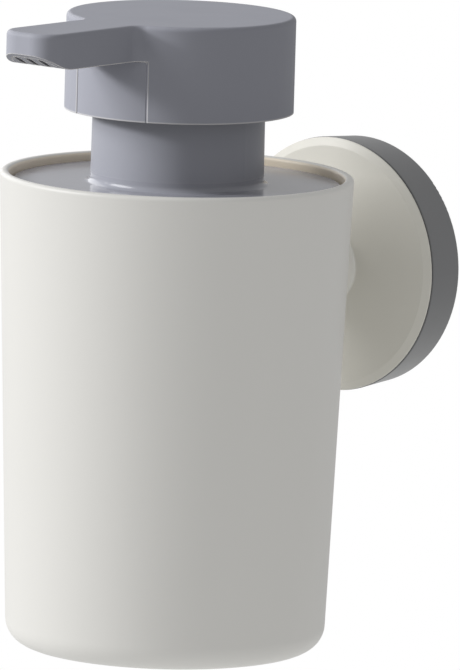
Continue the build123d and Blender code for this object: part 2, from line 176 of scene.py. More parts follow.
# %% Floor
floor_radius = 0.85
floor_height = -0.3
floor_edges = 128
disc = bmesh.new()
bmesh.ops.create_circle(disc, cap_ends=True, radius=floor_radius, segments=floor_edges,
                        matrix=Matrix.Translation((0, 0, floor_height)))
floor_mesh = bpy.data.meshes.new("floor")
disc.to_mesh(floor_mesh)
disc.free()
floor = bpy.data.objects.new("floor", floor_mesh)
scene.collection.objects.link(floor)
print("floor", 2 * floor_radius, "m across at height", floor_height)

# %% [markdown]
# ## Node trees as arithmetic
# A finish is a sum of small causes: pigment clouds, the mould's grain, smudges, worn edges. Wiring each sum
# by hand hides it in links, so one small class wraps a node's output and lets it be added, multiplied and
# subtracted like a number. Every other node comes from one node() method. Materials and Geometry Nodes share
# both, because their Math nodes are the same.


# %% Links that can be calculated with
class Link:
    """One value on its way through a node tree. Arithmetic on it adds Math nodes."""

    def __init__(self, owner, socket):
        self.owner = owner
        self.socket = socket

    def __add__(self, other):
        return self.owner.math("ADD", self, other)

    def __radd__(self, other):
        return self.owner.math("ADD", other, self)

    def __sub__(self, other):
        return self.owner.math("SUBTRACT", self, other)

    def __rsub__(self, other):
        return self.owner.math("SUBTRACT", other, self)

    def __mul__(self, other):
        return self.owner.math("MULTIPLY", self, other)

    def __rmul__(self, other):
        return self.owner.math("MULTIPLY", other, self)

    def __truediv__(self, other):
        return self.owner.math("DIVIDE", self, other)

    def __rtruediv__(self, other):
        return self.owner.math("DIVIDE", other, self)


# %% Any node from one method
class Nodes:
    """A node tree being wired."""

    def __init__(self, tree):
        self.tree = tree

    def feed(self, socket, value):
        """Joins a link to a socket, or sets the socket's own value."""
        if isinstance(value, Link):
            self.tree.links.new(value.socket, socket)
        elif socket.type == "RGBA":
            socket.default_value = (*value[:3], 1.0)
        else:
            socket.default_value = value

    def node(self, kind, settings=None, inputs=None, output=0):
        """Adds a node, its settings first and its sockets after them, and returns one of its outputs."""
        made = self.tree.nodes.new(kind)
        for key, value in (settings or {}).items():
            setattr(made, key, value)
        for key, value in (inputs or {}).items():
            self.feed(made.inputs[key], value)
        return Link(self, made.outputs[output])

    def math(self, operation, first, second=0.0):
        """One Math node. Operations on one value ignore the second."""
        return self.node("ShaderNodeMath", {"operation": operation}, {0: first, 1: second})


print("links add, subtract, multiply and divide")

# %% [markdown]
# ## A material and its measures
# Every finish starts from the point's place on the object, in metres, so its grain has a true size and moves
# with the piece. From that place come clouds of noise, distances to an axis and single coordinates, and a
# smooth step turns any of them into a mask from 0 to 1.


# %% The pattern class
class Pattern(Nodes):
    """A material being made. Its place is the point on the object, in metres."""

    def __init__(self, name):
        self.material = bpy.data.materials.new(name)
        self.material.use_nodes = True
        super().__init__(self.material.node_tree)
        self.shader = self.tree.nodes["Principled BSDF"]
        self.place = self.node("ShaderNodeTexCoord", output="Object")

    def noise(self, size, detail=2.0, stretch=(1, 1, 1), shift=0.0):
        """Clouds of a size in metres, from 0 to 1, stretched along the axes."""
        scale = [1 / (size * share) for share in stretch]
        point = self.node("ShaderNodeMapping", {"vector_type": "POINT"},
                          {"Vector": self.place, "Location": [shift] * 3, "Scale": scale})
        return self.node("ShaderNodeTexNoise", {"noise_dimensions": "3D"},
                         {"Vector": point, "Scale": 1.0, "Detail": detail}, "Fac")

    def coordinate(self, axis):
        """One coordinate of the point, in metres."""
        return self.node("ShaderNodeSeparateXYZ", None, {0: self.place}, axis)

    def distance_from(self, axis_point, squash):
        """Distance of the point from a place, with the axes that squash sets to 0 left out."""
        moved = self.node("ShaderNodeVectorMath", {"operation": "SUBTRACT"}, {0: self.place, 1: axis_point})
        flat = self.node("ShaderNodeVectorMath", {"operation": "MULTIPLY"}, {0: moved, 1: squash})
        return self.node("ShaderNodeVectorMath", {"operation": "LENGTH"}, {0: flat}, "Value")

    def rise(self, value, low, high):
        """0 below the low value, 1 above the high one, and smooth between them."""
        return self.node("ShaderNodeMapRange", {"interpolation_type": "SMOOTHSTEP"},
                         {"Value": value, "From Min": low, "From Max": high})

    def mix(self, share, first, second):
        """Colour that goes from the first to the second as the share goes from 0 to 1."""
        return self.node("ShaderNodeMix", {"data_type": "RGBA"}, {0: share, 6: first, 7: second}, 2)


def tint(color, factor):
    """A colour made lighter or darker by a factor."""
    return [channel * factor for channel in color]


print("half of mid grey is", tint((0.5, 0.5, 0.5), 0.5))

# %% [markdown]
# ## Edges and relief
# No moulded edge is perfectly sharp. The Bevel node rounds the shading of every sharp edge without touching
# the mesh, and it finds the edges too: where its rounded normal leans away from the true one, the surface is
# near an edge and can be shown with more wear, and on the plastics with a painted highlight. Grain and waves
# are bumps laid over that rounded normal.


# %% The finish class
bevel_samples = 6


class Finish(Pattern):
    """A pattern with edges and relief, whose shader is set last."""

    def rounded(self, radius):
        """Surface normal with the sharp edges rounded over a radius in metres."""
        return self.node("ShaderNodeBevel", {"samples": bevel_samples}, {"Radius": radius})

    def edges(self, radius):
        """1 on edges and 0 on flats: how far the rounded normal leans from the true one."""
        lean_start, lean_full = 0.02, 0.25
        true = self.node("ShaderNodeNewGeometry", output="Normal")
        lean = self.node("ShaderNodeVectorMath", {"operation": "DOT_PRODUCT"},
                         {0: self.rounded(radius), 1: true}, "Value")
        return self.rise(1 - lean, lean_start, lean_full)

    def relief(self, height, depth, normal):
        """Normal of a height that runs from 0 to 1 over a depth in metres, on top of another normal."""
        return self.node("ShaderNodeBump", None,
                         {"Strength": 1.0, "Distance": depth, "Height": height, "Normal": normal})

    def set(self, **sockets):
        """Sets the shader's sockets, named in small letters with underscores."""
        for key, value in sockets.items():
            self.feed(self.shader.inputs[key.replace("_", " ").title()], value)
        return self.material


print("edges are found with", bevel_samples, "samples of the Bevel node")

# %% [markdown]
# ## Where light is painted on the white
# A warm glow is painted on the cup's inner wall under the rim, for light shining through the thin wall, and the
# post is painted whiter than the rosette it grows from, for the light on its side. Each such place is a mask,
# from 0 to 1, worked out from the height of the cup's rim and from the distance to the axis of the cup or of the
# post.


# %% Places on the cup
cup_low, cup_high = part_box("cup")
lid_joint = next(joint for joint in frame["joints"] if joint["name"] == "lid_turn")
cup_axis = Vector((lid_joint["pos_m"][0], lid_joint["pos_m"][1], 0))
cup_top = cup_axis + Vector((0, 0, cup_high.z))
level = (1, 1, 0)
upright = (1, 0, 1)
wall_axis = (0, 0, 0)


def inside_rim(finish):
    """1 on the cup's inner wall just under the rim, where a warm glow is painted for light through the thin
    plastic.
    """
    glow_start, glow_full = cup_top.z - 0.0060, cup_top.z - 0.0030
    inner_wall, middle_of_wall = 0.03605, 0.03640
    radius = finish.distance_from(cup_axis, level)
    near_rim = finish.rise(finish.coordinate("Z"), glow_start, glow_full)
    return (1 - finish.rise(radius, inner_wall, middle_of_wall)) * near_rim


def on_post(finish):
    """1 on the round post between the rosette and the cup, where a whiter colour is painted for the light on its
    side.
    """
    post_side, post_foot = 0.0081, 0.0087
    radius = finish.distance_from(wall_axis, upright)
    return 1 - finish.rise(radius, post_side, post_foot)


print("cup axis", [round(value, 4) for value in cup_axis], "and rim height", round(cup_top.z, 4))

# %% [markdown]
# ## Painted light and shade on the head
# The head's mould leaves crisp edges along the spout's underside, at the foot of the skirt and beside the two
# seams of its front panel. A pale line is painted on each, a painted highlight for the light those edges
# catch. Each of these lines is a mask too, worked out from the head's own box. One more mask marks the
# inside of the outlet slots, where the walls are painted dark as painted shade.


# %% Places on the head
spout_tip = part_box("spout_cover")[0]
head_low, head_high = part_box("head_shell")
spout_underside_z = 0.0516
tip_bevel_length = 0.0056
tip_bevel_slope = 3.0 / 5.6
seam_angle = math.radians(23.3)


def under_spout(finish):
    """1 on the spout's underside and the lowest edge of its sides, beyond the head's skirt."""
    skirt_side, clear_of_skirt = 0.0240, 0.0244
    above = finish.coordinate("Z") - spout_underside_z
    from_tip = finish.coordinate("Y") - spout_tip.y
    low = 1 - finish.rise(above, 0.0006, 0.0010)
    tip = 1 - finish.rise(above, 0.0034, 0.0040)
    near_tip = 1 - finish.rise(from_tip, 0.0060, 0.0075)
    beyond = finish.rise(finish.distance_from(cup_axis, level), skirt_side, clear_of_skirt)
    above_skirt = finish.rise(above, -0.0006, -0.0003)
    return finish.math("MAXIMUM", low, tip * near_tip) * beyond * above_skirt


def skirt_edge(finish):
    """1 on the last third of a millimetre of the head's skirt, where a highlight is painted."""
    edge_full, edge_end = head_low.z + 0.0001, head_low.z + 0.0004
    return 1 - finish.rise(finish.coordinate("Z"), edge_full, edge_end)


def seam_edge(finish):
    """1 on the skirt's own edge beside the front panel's two seams, where a highlight is painted too."""
    side = finish.coordinate("X") - cup_axis.x
    front = cup_axis.y - finish.coordinate("Y")
    turned_away = finish.math("ABSOLUTE", finish.math("ARCTAN2", side, front))
    past_seam = (turned_away - seam_angle) * head_high.x
    below_spout = 1 - finish.rise(finish.coordinate("Z"), spout_underside_z - 0.0003, spout_underside_z)
    line = finish.rise(past_seam, -0.00003, 0.00002) * (1 - finish.rise(past_seam, 0.00022, 0.00036))
    return line * below_spout


def in_outlet(finish):
    """1 inside the outlet slots, where the walls are painted dark as painted shade."""
    bevel_start = head_low.y + tip_bevel_length
    bevel = finish.math("MAXIMUM", bevel_start - finish.coordinate("Y"), 0.0) * tip_bevel_slope
    depth = finish.coordinate("Z") - spout_underside_z - bevel
    slots_reach, outer_side = 0.0052, 0.0054
    slots_roof, head_top = head_high.z - 0.0009, head_high.z - 0.0003
    from_middle = finish.distance_from((cup_axis.x, bevel_start, 0), level)
    near_middle = 1 - finish.rise(from_middle, slots_reach, outer_side)
    under_roof = 1 - finish.rise(finish.coordinate("Z"), slots_roof, head_top)
    return finish.rise(depth, 0.0003, 0.0007) * near_middle * under_roof


print("head reaches", round(cup_axis.y - head_low.y, 4), "m from its axis")

# %% [markdown]
# ## Moulded plastics
# Nearly every plastic piece here is injection moulded. Close up such a surface is never even: the pigment
# drifts a little in the flow, the spark-cut mould leaves a fine grain, handling polishes or dulls it in
# patches, and the edges are more rubbed than the flats. The edges are also painted lighter, a painted
# highlight for the light that their rounder shape catches. One recipe makes all of them from a few numbers,
# so that the pieces differ as their moulds do and still look like one product. A piece with marks of its own
# passes a function that adds them to the colour; the head's marks are painted highlights and painted shade.


# %% Moulded plastic recipe
def moulded(name, color, roughness, grain=0.00030, grain_depth=0.000006, clouds=0.03, patches=0.06,
            edge_round=0.00025, edge_light=0.10, wave_depth=0.00001, gloss=0.5, tone=None, marks=None,
            satin_above=None):
    """Moulded plastic. Its grain, edge rounding and waves are in metres. tone changes the pigment under the
    painted edge highlight and marks the colour on top of it. Above satin_above the surface is less polished."""
    cloud_size, patch_size, wave_size = 0.018, 0.009, 0.014
    edge_wear_and_highlight_tint, worn_polish, grain_share = 1.6, 0.04, 0.06
    satin_band, satin_roughness = 0.0015, 0.26
    finish = Finish(name)
    finish.shader.inputs["Specular IOR Level"].default_value = gloss
    drift = finish.noise(cloud_size, detail=4, stretch=(1, 1, 2.5))
    near_edge = finish.edges(edge_round)
    pigment = finish.mix(drift, tint(color, 1 - clouds), tint(color, 1 + clouds))
    if tone:
        pigment = tone(finish, pigment)
    handled = finish.noise(patch_size, detail=5, shift=3.1)
    skin = finish.noise(grain, detail=3)
    # painted highlight: the edges are lightened in colour for the light they catch, on top of their wear
    body_color = finish.mix(near_edge * edge_light, pigment, tint(color, edge_wear_and_highlight_tint))
    if marks:
        body_color = marks(finish, body_color, near_edge)
    if satin_above:
        satin = finish.rise(finish.coordinate("Z"), satin_above, satin_above + satin_band)
        roughness = roughness + satin * satin_roughness
    wave = finish.noise(wave_size, detail=1, shift=7.7)
    soft = finish.relief(wave, wave_depth, finish.rounded(edge_round))
    return finish.set(
        base_color=body_color,
        roughness=roughness + (handled - 0.5) * patches * 2 + (skin - 0.5) * grain_share - near_edge * worn_polish,
        normal=finish.relief(skin, grain_depth, soft))


print("one recipe for every moulded plastic")

# %% [markdown]
# ## White shell
# The cup and the rosette are satin white, warm rather than blue. The cup's mould is spark-cut very finely,
# so the side shades evenly with only a trace of grain. The rosette is the same plastic from a mould with a
# slightly coarser skin. Its colour is painted warmer and a touch deeper than the cup's, as painted shade and
# warm light bounced from the cup, and its post is painted whiter for the light on its side.


# %% White shell
cup_color = (0.680, 0.672, 0.645)
# painted light: a warm glow painted inside the rim for light shining through the thin wall
glow_color = (0.92, 0.80, 0.62)
glow_share = 0.85
# painted shade: the rosette's warmer, deeper colour stands for shade and warm light bounced from the cup
rosette_painted_shade_color = (0.678, 0.664, 0.608)
# painted light: the post is painted whiter for the light on its side
post_painted_light_color = (0.84, 0.83, 0.79)


def warm_rim(finish, pigment):
    """The cup's pigment with the painted warm glow inside its rim."""
    return finish.mix(inside_rim(finish) * glow_share, pigment, glow_color)


def white_post(finish, pigment):
    """The rosette's pigment with the painted light on its post."""
    return finish.mix(on_post(finish), pigment, post_painted_light_color)


white_shell = moulded("satin_white_shell", cup_color, 0.42, grain=0.00035, grain_depth=0.000004,
                      clouds=0.012, patches=0.04, edge_light=0.05, tone=warm_rim)
rosette_shell = moulded("satin_white_rosette", rosette_painted_shade_color, 0.45, grain=0.00045, grain_depth=0.000006,
                        clouds=0.02, patches=0.05, edge_light=0.08, tone=white_post)
print("whites:", white_shell.name, rosette_shell.name)

# %% [markdown]
# ## Grey head, lid and ring
# The head and spout are a blue grey with a fine matt grain that hides finger marks, with painted highlights
# on their edges and painted shade inside the outlet.
# The lid is nearly the same colour. Its disc is polished, so the collar mirrors in it, and the collar itself
# is satin. The ring behind the rosette is a neutral grey with a coarser skin.


# %% Grey plastics
head_color = (0.238, 0.243, 0.276)
# painted highlight: the pale colour painted on the head's edges
painted_highlight_color = (0.95, 0.92, 0.87)
# painted shade: the dark colour painted inside the outlet slots
outlet_painted_shade_color = (0.045, 0.038, 0.032)
lid_color = (0.245, 0.251, 0.284)
ring_color = (0.172, 0.174, 0.179)


def rubbed_head(finish, color, near_edge):
    """The head's colour with painted highlights on its edges and painted shade inside its outlet slots."""
    highlight_edge_full, spout_share, skirt_share, seam_share, outlet_shade_share = 0.35, 0.8, 0.28, 0.24, 0.85
    spout_lines = finish.rise(near_edge, 0.0, highlight_edge_full) * under_spout(finish) * spout_share
    skirt_lines = finish.math("MAXIMUM", skirt_edge(finish) * skirt_share, seam_edge(finish) * seam_share)
    edged = finish.mix(skirt_lines, finish.mix(spout_lines, color, painted_highlight_color), painted_highlight_color)
    return finish.mix(in_outlet(finish) * outlet_shade_share, edged, outlet_painted_shade_color)


grey_head = moulded("matt_grey_head", head_color, 0.52, grain=0.00028, grain_depth=0.000008, clouds=0.025,
                    patches=0.05, edge_round=0.00040, edge_light=0.30, gloss=0.15, marks=rubbed_head)
# painted highlight: the tongues are painted much lighter than the head, so each seam reads as a light line
tongue_painted_light = moulded("rubbed_grey_tongue", tint(head_color, 2.2), 0.42, grain=0.00028, grain_depth=0.000006)
grey_lid = moulded("polished_grey_lid", lid_color, 0.14, grain=0.00060, grain_depth=0.000001, clouds=0.015,
                   patches=0.04, edge_light=0.10, gloss=0.36, satin_above=cup_top.z - 0.0005)
grey_ring = moulded("satin_grey_ring", ring_color, 0.33, grain=0.00045, grain_depth=0.000018, clouds=0.05,
                    patches=0.08, edge_light=0.15)
print("greys:", grey_head.name, grey_lid.name, grey_ring.name)

# %% [markdown]
# ## Bottle and pump plastics
# The bottle is blown from uncoloured polyethylene: milky, waxy, with a slow waviness that an injection mould
# doesn't have. The pump's screw cap, guide and stem are glossy white polypropylene, and its barrel, cage and
# tube are uncoloured. The seals are a soft, dull elastomer.

# %% Bottle and pump plastics
bottle_color = (0.66, 0.67, 0.645)
pump_color = (0.70, 0.70, 0.685)
uncoloured = (0.62, 0.63, 0.62)
seal_color = (0.52, 0.51, 0.48)
natural_bottle = moulded("blown_natural_bottle", bottle_color, 0.33, grain=0.0012, grain_depth=0.00001,
                         clouds=0.04, patches=0.09, edge_light=0.05, wave_depth=0.00012)
pump_white = moulded("glossy_white_pump", pump_color, 0.22, grain=0.0008, grain_depth=0.000002,
                     clouds=0.01, patches=0.05, edge_light=0.05)
pump_natural = moulded("natural_pump", uncoloured, 0.34, grain=0.0006, grain_depth=0.000004,
                       clouds=0.03, patches=0.07, edge_light=0.05)
soft_seal = moulded("soft_pale_seal", seal_color, 0.62, grain=0.00018, grain_depth=0.00001,
                    clouds=0.05, patches=0.08, edge_light=0.06)
print("plastics inside:", natural_bottle.name, pump_white.name, pump_natural.name, soft_seal.name)

# %% [markdown]
# ## Metals
# The metal pieces hide behind the rosette, inside the cup and in the pump. A few of them show when the
# insert is lifted out or the dispenser is off its wall. Turned pieces carry fine rings round their axis,
# which is square to the wall, so rings are drawn by the distance from that axis. The stamped plate is
# brushed one way instead, and the spring's wire has fine die lines.


# %% Metal recipe
def metal(name, color, roughness, tool_marks, mark_depth, grime=0.25):
    """Bare metal. tool_marks makes the height of its marks, from 0 to 1, on the finish it is given."""
    edge_round = 0.0002
    stain_size, stain_tint, stain_roughness = 0.006, 0.55, 0.3
    mark_roughness, worn_polish = 0.10, 0.05
    finish = Finish(name)
    height = tool_marks(finish)
    dull = finish.noise(stain_size, detail=4, shift=1.7)
    near_edge = finish.edges(edge_round)
    stain = finish.rise(dull, 0.5, 0.8) * grime * (1 - near_edge)
    return finish.set(
        base_color=finish.mix(stain, color, tint(color, stain_tint)),
        metallic=1.0,
        roughness=roughness + stain * stain_roughness + (height - 0.5) * mark_roughness - near_edge * worn_polish,
        normal=finish.relief(height, mark_depth, finish.rounded(edge_round)))


def turned_rings(finish):
    """Fine rings round the rosette's axis."""
    tool_step = 0.00012
    radius = finish.distance_from(wall_axis, upright)
    ripple = finish.node("ShaderNodeTexNoise", {"noise_dimensions": "1D"},
                         {"W": radius / tool_step, "Scale": 1.0, "Detail": 2.0}, "Fac")
    return ripple * 0.7 + finish.noise(0.0008, detail=3) * 0.3


def brushed(finish):
    """Straight brushing along X."""
    return finish.noise(0.0003, detail=3, stretch=(40, 1, 1))


def drawn_wire(finish):
    """Die lines and small pits of drawn wire."""
    return finish.noise(0.0002, detail=4, stretch=(3, 3, 1))


# %% Metals
steel_plate = metal("brushed_steel_plate", (0.60, 0.60, 0.59), 0.34, brushed, 0.000008)
bright_screw = metal("zinc_bright_screw", (0.68, 0.69, 0.70), 0.24, turned_rings, 0.000006)
brass_insert = metal("turned_brass", (0.78, 0.58, 0.28), 0.30, turned_rings, 0.000006)
steel_spring = metal("drawn_steel_wire", (0.62, 0.62, 0.61), 0.22, drawn_wire, 0.000004)
black_screw = metal("blackened_screw", (0.035, 0.034, 0.036), 0.42, turned_rings, 0.000006, grime=0.5)
print("metals:", [one.name for one in (steel_plate, bright_screw, brass_insert, steel_spring, black_screw)])

# %% [markdown]
# ## Finishes onto the frame
# The record names a material slot for every node. A table from slot to finish covers them all at once, and
# the few nodes that differ within a slot are named after it.

# %% Dress the frame
finish_of_slot = {
    "white_shell": white_shell, "grey_head": grey_head, "grey_lid": grey_lid, "grey_ring": grey_ring,
    "steel_plate": steel_plate, "bright_screw": bright_screw, "black_screw": black_screw,
    "brass_insert": brass_insert, "natural_bottle": natural_bottle, "pump_white": pump_white,
    "pump_natural": pump_natural, "soft_seal": soft_seal, "steel_spring": steel_spring}
finish_of_node = {"rosette": rosette_shell}


def dress(thing, material):
    """Gives an object one material in all its slots."""
    if not thing.material_slots:
        thing.data.materials.append(None)
    for slot in thing.material_slots:
        slot.material = material


for row in frame["record"]["subparts"]:
    name = row["node"]
    dress(nodes[name], finish_of_node.get(name, finish_of_slot[row["material_slot"]]))
print("dressed", len(nodes), "nodes")

# %% Floor paper
paper_color = (0.88, 0.88, 0.87)
paper_floor = moulded("pale_paper_floor", paper_color, 0.85, grain=0.0012, grain_depth=0.00003, clouds=0.01)
dress(floor, paper_floor)
print("floor wears", paper_floor.name)

# %% [markdown]
# ## Which way the faces point
# A swept surface may come out with its inside facing outwards, and it is then lit wrongly. Recalculating
# turns every face of a closed shape outwards, and the signed volume proves it: it is negative when the shape
# is inside out. The CAD nodes' own meshes already face outwards, and are left alone.


# %% Faces outward
def volume_of(mesh):
    """Volume inside a closed mesh: positive when its faces point outwards."""
    shape = bmesh.new()
    shape.from_mesh(mesh)
    volume = shape.calc_volume(signed=True)
    shape.free()
    return volume


def face_outward(mesh):
    """Turns the faces of a mesh outwards and shades it smooth."""
    shape = bmesh.new()
    shape.from_mesh(mesh)
    bmesh.ops.recalc_face_normals(shape, faces=shape.faces)
    shape.to_mesh(mesh)
    shape.free()
    mesh.shade_smooth()


print("floor disc faces up:", floor.data.polygons[0].normal.z > 0)

# %% [markdown]
# ## Trees with named sizes
# The shapes that follow a rule are made with Geometry Nodes. The sizes of each tree are named inputs, so the
# wall, the taper or the lip of the cup is one number to change, and the nodes only say how the sizes work
# together.


# %% The tree class
class SizedTree(Nodes):
    """A Geometry Nodes tree being made. Its sizes, in metres, are named inputs."""

    def __init__(self, name, **sizes):
        super().__init__(bpy.data.node_groups.new(name, "GeometryNodeTree"))
        self.values = {key.replace("_", " ").title(): value for key, value in sizes.items()}
        face = self.tree.interface
        face.new_socket("Geometry", in_out="OUTPUT", socket_type="NodeSocketGeometry")
        for label, value in self.values.items():
            kind = "NodeSocketInt" if isinstance(value, int) else "NodeSocketFloat"
            face.new_socket(label, in_out="INPUT", socket_type=kind)
        self.inputs = self.tree.nodes.new("NodeGroupInput")

    def size(self, key):
        """One of the tree's named inputs."""
        return Link(self, self.inputs.outputs[key.replace("_", " ").title()])

    def point(self, x, y, z):
        """A point from its three coordinates."""
        return self.node("ShaderNodeCombineXYZ", None, {0: x, 1: y, 2: z})

    def choose(self, kind, items, index):
        """The item at an index, from a list of links or numbers."""
        node = self.tree.nodes.new("GeometryNodeIndexSwitch")
        node.data_type = kind
        while len(node.index_switch_items) < len(items):
            node.index_switch_items.new()
        self.feed(node.inputs["Index"], index)
        for number, item in enumerate(items):
            self.feed(node.inputs[str(number)], item)
        return Link(self, node.outputs[0])

    def joined(self, shapes):
        """Several shapes as one."""
        join = self.tree.nodes.new("GeometryNodeJoinGeometry")
        for shape in shapes:
            self.tree.links.new(shape.socket, join.inputs[0])
        return Link(self, join.outputs[0])


print("a tree takes its sizes by name and gives them as links")

# %% [markdown]
# ## Turning a shape from its outline
# The cup is a body of revolution, as if turned on a lathe: one outline, carried round an upright axis. A
# round mesh could be scaled and bevelled instead, but then each round would depend on the bevel before it.
# Here the outline is a list of corners, each with its own round. The tree makes it a curve, rounds its
# corners, and bends a flat grid so that every column of it stands on the outline, one step further round.


# %% The lathe class
weld_distance = 1e-6


class Lathe(SizedTree):
    """A tree that can turn an outline round an axis."""

    def outline(self, corners, steps):
        """Curve through (radius, height, round) corners, with each corner rounded."""
        index = self.node("GeometryNodeInputIndex")
        line = self.node("GeometryNodeMeshLine", {"mode": "OFFSET"}, {"Count": len(corners)})
        places = [self.point(radius, 0.0, height) for radius, height, _ in corners]
        moved = self.node("GeometryNodeSetPosition", None,
                          {"Geometry": line, "Position": self.choose("VECTOR", places, index)})
        curve = self.node("GeometryNodeMeshToCurve", None, {0: moved})
        rounds = self.choose("FLOAT", [corner[2] for corner in corners], index)
        return self.node("GeometryNodeFilletCurve", {"mode": "POLY"},
                         {"Curve": curve, "Count": steps, "Radius": rounds, "Limit Radius": False})

    def turned(self, outline, facets):
        """Surface that an outline sweeps round the Z axis, welded along its seam and at its poles."""
        count = self.node("GeometryNodeAttributeDomainSize", {"component": "CURVE"},
                          {0: outline}, "Point Count")
        sheet = self.node("GeometryNodeMeshGrid", None, {"Vertices X": count, "Vertices Y": facets + 1})
        here = self.node("GeometryNodeInputPosition")
        column = self.node("ShaderNodeSeparateXYZ", None, {0: here}, "Y")
        share = self.node("ShaderNodeSeparateXYZ", None, {0: here}, "X")
        row = self.math("ROUND", (share + 0.5) * (count - 1))
        corner = self.node("GeometryNodeSampleIndex", {"data_type": "FLOAT_VECTOR", "domain": "POINT"},
                           {"Geometry": outline, "Value": here, "Index": row})
        angle = (column + 0.5) * math.tau
        radius = self.node("ShaderNodeSeparateXYZ", None, {0: corner}, "X")
        height = self.node("ShaderNodeSeparateXYZ", None, {0: corner}, "Z")
        around = self.point(radius * self.math("COSINE", angle), radius * self.math("SINE", angle), height)
        swept = self.node("GeometryNodeSetPosition", None, {"Geometry": sheet, "Position": around})
        return self.node("GeometryNodeMergeByDistance", None, {"Geometry": swept, "Distance": weld_distance})


print("turned shapes are welded at", weld_distance, "m")

# %% [markdown]
# ## Sweeping, and baking the result
# Ridges, threads and wire are a small section swept along a curve. However a shape is made, it ends the same
# way: its tree is run once on an empty carrier, the result becomes a plain mesh in its place, and the piece
# rides on the body that it belongs to. The modifier goes, because the export needs plain meshes.


# %% The shaper class
cubic_metres_to_millilitres = 1e6


class Shaper(Lathe):
    """A tree that can also sweep, and that bakes itself to a piece."""

    def bead(self, radius, facets):
        """Round section to sweep along a curve."""
        return self.node("GeometryNodeCurvePrimitiveCircle", {"mode": "RADIUS"},
                         {"Resolution": facets, "Radius": radius})

    def swept(self, curve, section, swell=1.0):
        """Tube of a section along a curve, closed at its ends and scaled by swell."""
        return self.node("GeometryNodeCurveToMesh", None,
                         {0: curve, 1: section, "Fill Caps": True, "Scale": swell})

    def made(self, name, shape, material, place, body, slot):
        """Bakes the tree to a plain mesh, puts it in place, and rides it on a body."""
        real = self.node("GeometryNodeRealizeInstances", None, {0: shape})
        dressed = self.node("GeometryNodeSetMaterial", None, {0: real, "Material": material})
        self.tree.links.new(dressed.socket, self.tree.nodes.new("NodeGroupOutput").inputs[0])
        carrier = bpy.data.objects.new(name, bpy.data.meshes.new(name))
        scene.collection.objects.link(carrier)
        modifier = carrier.modifiers.new(name, "NODES")
        modifier.node_group = self.tree
        for item in self.tree.interface.items_tree:
            if item.in_out == "INPUT":
                modifier[item.identifier] = self.values[item.name]
        evaluated = carrier.evaluated_get(bpy.context.evaluated_depsgraph_get())
        mesh = bpy.data.meshes.new_from_object(evaluated)
        carrier.modifiers.clear()
        carrier.data = mesh
        mesh.transform(place)
        face_outward(mesh)
        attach(carrier, body)
        volume = round(volume_of(mesh) * cubic_metres_to_millilitres, 3)
        print(name, "has", len(mesh.polygons), "faces and a volume of", volume, "ml")
        return carrier


print("a swept section follows its curve, and is closed at both ends")

# %% [markdown]
# ## Shading across a round
# Where a small round meets a large flat side, smooth shading would bend the side's shading too. The Weighted
# Normal modifier lets the larger face decide, so only the round looks round. It is baked into the mesh.


# %% Weighted normals
largest_face_decides = 100


def weigh_normals(thing):
    """Bakes normals that follow the larger faces."""
    modifier = thing.modifiers.new("weighted_normals", "WEIGHTED_NORMAL")
    modifier.mode = "FACE_AREA"
    modifier.weight = largest_face_decides
    modifier.keep_sharp = True
    evaluated = thing.evaluated_get(bpy.context.evaluated_depsgraph_get())
    mesh = bpy.data.meshes.new_from_object(evaluated)
    thing.modifiers.clear()
    thing.data = mesh
    print(thing.name, "has weighted normals:", mesh.has_custom_normals)

# %% [markdown]
# ## The cup
# The cup is a plain tapered beaker: a floor with a generous round under it, a straight side that opens
# towards the rim, and a rim rounded over on both edges. Its height and its place come from the engineered
# cup's box and axis, and its radii are that cup's own, so the turned shell lies exactly where that one does.

# %% Cup shell
cup_shape = Shaper(
    "cup_shape", rim_radius=0.0380, base_radius=0.0343, height=cup_high.z - cup_low.z, wall=0.0020,
    base_round=0.0055, lip_round=0.0009, facets=192)
rim, base, height, wall = (cup_shape.size(key) for key in ("rim_radius", "base_radius", "height", "wall"))
base_round, lip_round = cup_shape.size("base_round"), cup_shape.size("lip_round")
floor_inner = base + (rim - base) * wall / height - wall
cup_outline = cup_shape.outline([
    (0.0, 0.0 - height, 0.0), (base, 0.0 - height, base_round), (rim, 0.0, lip_round),
    (rim - wall, 0.0, lip_round), (floor_inner, wall - height, base_round - wall), (0.0, wall - height, 0.0)],
    steps=10)
cup_turned = cup_shape.turned(cup_outline, cup_shape.size("facets"))
rim_place = Matrix.Translation(cup_top)
cup_shell = cup_shape.made("cup_shell", cup_turned, white_shell, rim_place, "holder", "white_shell")
weigh_normals(cup_shell)
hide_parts("cup")

# %% [markdown]
# ## The cup's screw seat
# The cup is screwed to the rosette's post through a round seat: a pad behind the wall that fits the post, and
# a smaller pad inside for the washer. It is one more turned ring, this time round an axis square to the
# wall, with the screw's hole through it. Its outline is a closed loop, so it is listed back to its start.

# %% Cup screw seat
pad_back = -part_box("post_insert")[0].y
pad_front = -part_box("cup_washer")[1].y
wall_middle_radius = 0.0361
wall_middle = cup_axis.y + wall_middle_radius
seat_shape = Shaper("seat_shape", hole_radius=0.0027, post_radius=0.0080, washer_pad_radius=0.0065,
                    back=pad_back, middle=-wall_middle, front=pad_front, edge_round=0.0003, facets=96)
hole, post, washer_pad, back, middle, front, edge_round = (seat_shape.size(key) for key in (
    "hole_radius", "post_radius", "washer_pad_radius", "back", "middle", "front", "edge_round"))
seat_outline = seat_shape.outline([
    (hole, back, 0.0), (post, back, 0.0), (post, middle, 0.0), (washer_pad, middle, 0.0),
    (washer_pad, front, edge_round), (hole, front, 0.0), (hole, back, 0.0)], steps=4)
seat_turned = seat_shape.turned(seat_outline, seat_shape.size("facets"))
from_wall = Matrix.Rotation(math.radians(90), 4, "X")
cup_seat = seat_shape.made("cup_seat", seat_turned, white_shell, from_wall, "holder", "white_shell")
weigh_normals(cup_seat)
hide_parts("cup")

